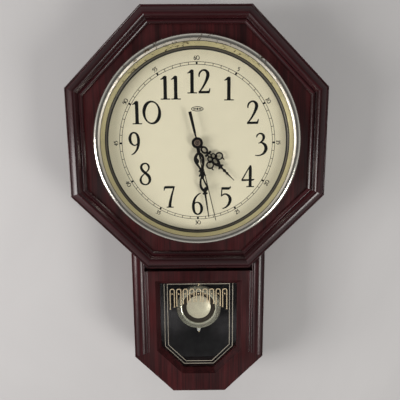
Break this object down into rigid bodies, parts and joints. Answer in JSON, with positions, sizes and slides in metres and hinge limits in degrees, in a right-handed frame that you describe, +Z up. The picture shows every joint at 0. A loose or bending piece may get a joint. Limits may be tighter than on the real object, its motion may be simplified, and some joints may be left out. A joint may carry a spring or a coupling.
{
  "type": "pendulum wall clock",
  "caption": "Octagonal schoolhouse wall clock with a round numbered dial under a brass bezel, and a pointed lower box with a glazed door over a swinging disc pendulum.",
  "frame": {"origin": "centre of the hanging hole, on the wall", "axes": "+X to the right of somebody who looks at the dial, +Y from the clock into the wall, +Z up; the dial faces -Y"},
  "size_m": [0.405, 0.1108, 0.6365],
  "materials": {
    "case_wood": "stained dark cherry, satin",
    "moulding_wood": "stained dark cherry, gloss lacquer",
    "panel_wood": "stained dark cherry, gloss lacquer, fine straight grain",
    "back_wood": "dark stained board, matt",
    "bezel_brass": "polished",
    "sight_brass": "satin",
    "surround_paint": "matt grey-brown",
    "dial_paint": "satin champagne with black print",
    "clear_glass": "clear, polished",
    "printed_glass": "clear, polished, with gold lines printed on it",
    "hand_paint": "satin black",
    "hub_bronze": "dull",
    "black_plastic": "fine texture",
    "gear_plastic": "moulded",
    "board_plastic": "green solder mask",
    "steel": "plated",
    "turned_brass": "satin",
    "coil_wire": "enamelled copper wire",
    "battery_sleeve": "plain sleeve",
    "bob_brass": "polished with turned rings",
    "bob_paint": "satin black"
  },
  "bodies": {
    "case": {"back_panel": "back_wood", "battery": "battery_sleeve", "battery_contacts": "steel", "bezel_ring": "bezel_brass", "bush_nut": "turned_brass", "case_ring_boards": "case_wood", "case_screws": "steel", "catch_magnet": "steel", "circuit_board": "board_plastic", "dial_glass": "clear_glass", "dial_plate": "dial_paint", "dial_screws": "steel", "dial_surround": "surround_paint", "front_board": "panel_wood", "hanger_block": "case_wood", "hanger_plate": "steel", "hinge_case_leaves": "turned_brass", "hinge_pins": "turned_brass", "lower_bottom_board": "case_wood", "lower_chamfer_boards": "case_wood", "lower_side_boards": "case_wood", "middle_plate": "gear_plastic", "motor_coil": "coil_wire", "movement_cover": "black_plastic", "movement_housing": "black_plastic", "octagon_moulding": "moulding_wood", "pulse_coil": "coil_wire", "sight_ring": "sight_brass", "stator": "steel", "threaded_bush": "turned_brass", "throat_rail": "case_wood"},
    "second_train": {"second_wheel": "gear_plastic", "second_hand": "hand_paint", "hub_button": "hub_bronze"},
    "minute_train": {"minute_wheel": "gear_plastic", "minute_hand": "hand_paint"},
    "hour_train": {"hour_wheel": "gear_plastic", "hour_hand": "hand_paint"},
    "third_arbor": {"third_wheel": "gear_plastic"},
    "motion_pair": {"motion_wheel": "gear_plastic"},
    "setting_shaft": {"setting_knob": "black_plastic"},
    "intermediate_arbor": {"intermediate_wheel": "gear_plastic"},
    "rotor_shaft": {"rotor": "gear_plastic"},
    "pendulum": {"pendulum_hanger": "black_plastic", "pendulum_magnet": "steel", "pendulum_rod": "turned_brass", "bob_shell": "bob_brass", "bob_inset_ring": "bob_paint", "bob_centre": "bob_brass"},
    "adjusting_nut": {"rating_nut": "turned_brass"},
    "door": {"door_left_stile": "moulding_wood", "door_right_stile": "moulding_wood", "door_top_rail": "moulding_wood", "door_left_chamfer_rail": "moulding_wood", "door_right_chamfer_rail": "moulding_wood", "door_bottom_rail": "moulding_wood", "door_glass": "printed_glass", "glass_stop": "moulding_wood", "hinge_door_leaves": "turned_brass", "catch_striker": "steel"}
  },
  "joints": [
    {"name": "second_turn", "type": "hinge", "parent": "case", "child": "second_train", "pos_m": [0, -0.093, -0.157], "axis": [0, 1, 0], "continuous": true},
    {"name": "minute_turn", "type": "hinge", "parent": "case", "child": "minute_train", "pos_m": [0, -0.09, -0.157], "axis": [0, 1, 0], "continuous": true},
    {"name": "hour_turn", "type": "hinge", "parent": "case", "child": "hour_train", "pos_m": [0, -0.087, -0.157], "axis": [0, 1, 0], "continuous": true},
    {"name": "third_turn", "type": "hinge", "parent": "case", "child": "third_arbor", "pos_m": [-0.0116, -0.067, -0.157], "axis": [0, 1, 0], "continuous": true},
    {"name": "motion_turn", "type": "hinge", "parent": "case", "child": "motion_pair", "pos_m": [0.00589, -0.074, -0.1536], "axis": [0, 1, 0], "continuous": true},
    {"name": "setting_turn", "type": "hinge", "parent": "case", "child": "setting_shaft", "pos_m": [0.01221, -0.047, -0.14995], "axis": [0, 1, 0], "continuous": true},
    {"name": "intermediate_turn", "type": "hinge", "parent": "case", "child": "intermediate_arbor", "pos_m": [0, -0.058, -0.1638], "axis": [0, 1, 0], "continuous": true},
    {"name": "rotor_turn", "type": "hinge", "parent": "case", "child": "rotor_shaft", "pos_m": [0, -0.055, -0.1708], "axis": [0, 1, 0], "continuous": true},
    {"name": "pendulum_swing", "type": "hinge", "parent": "case", "child": "pendulum", "pos_m": [0, -0.046, -0.204], "axis": [0, 1, 0], "range_deg": [-8, 8]},
    {"name": "rating_nut_turn", "type": "hinge", "parent": "pendulum", "child": "adjusting_nut", "pos_m": [0, -0.046, -0.497], "axis": [0, 0, 1], "continuous": true},
    {"name": "door_swing", "type": "hinge", "parent": "case", "child": "door", "pos_m": [0.1095, -0.069, -0.4495], "axis": [0, 0, 1], "range_deg": [0, 100]}
  ],
  "couplings": [
    {"joint": "minute_turn", "follows": "second_turn", "ratio": 0.016667},
    {"joint": "hour_turn", "follows": "second_turn", "ratio": 0.0013889},
    {"joint": "third_turn", "follows": "second_turn", "ratio": -0.13333},
    {"joint": "motion_turn", "follows": "second_turn", "ratio": -0.0055556},
    {"joint": "setting_turn", "follows": "second_turn", "ratio": 0.011111},
    {"joint": "intermediate_turn", "follows": "second_turn", "ratio": -5},
    {"joint": "rotor_turn", "follows": "second_turn", "ratio": 30}
  ]
}
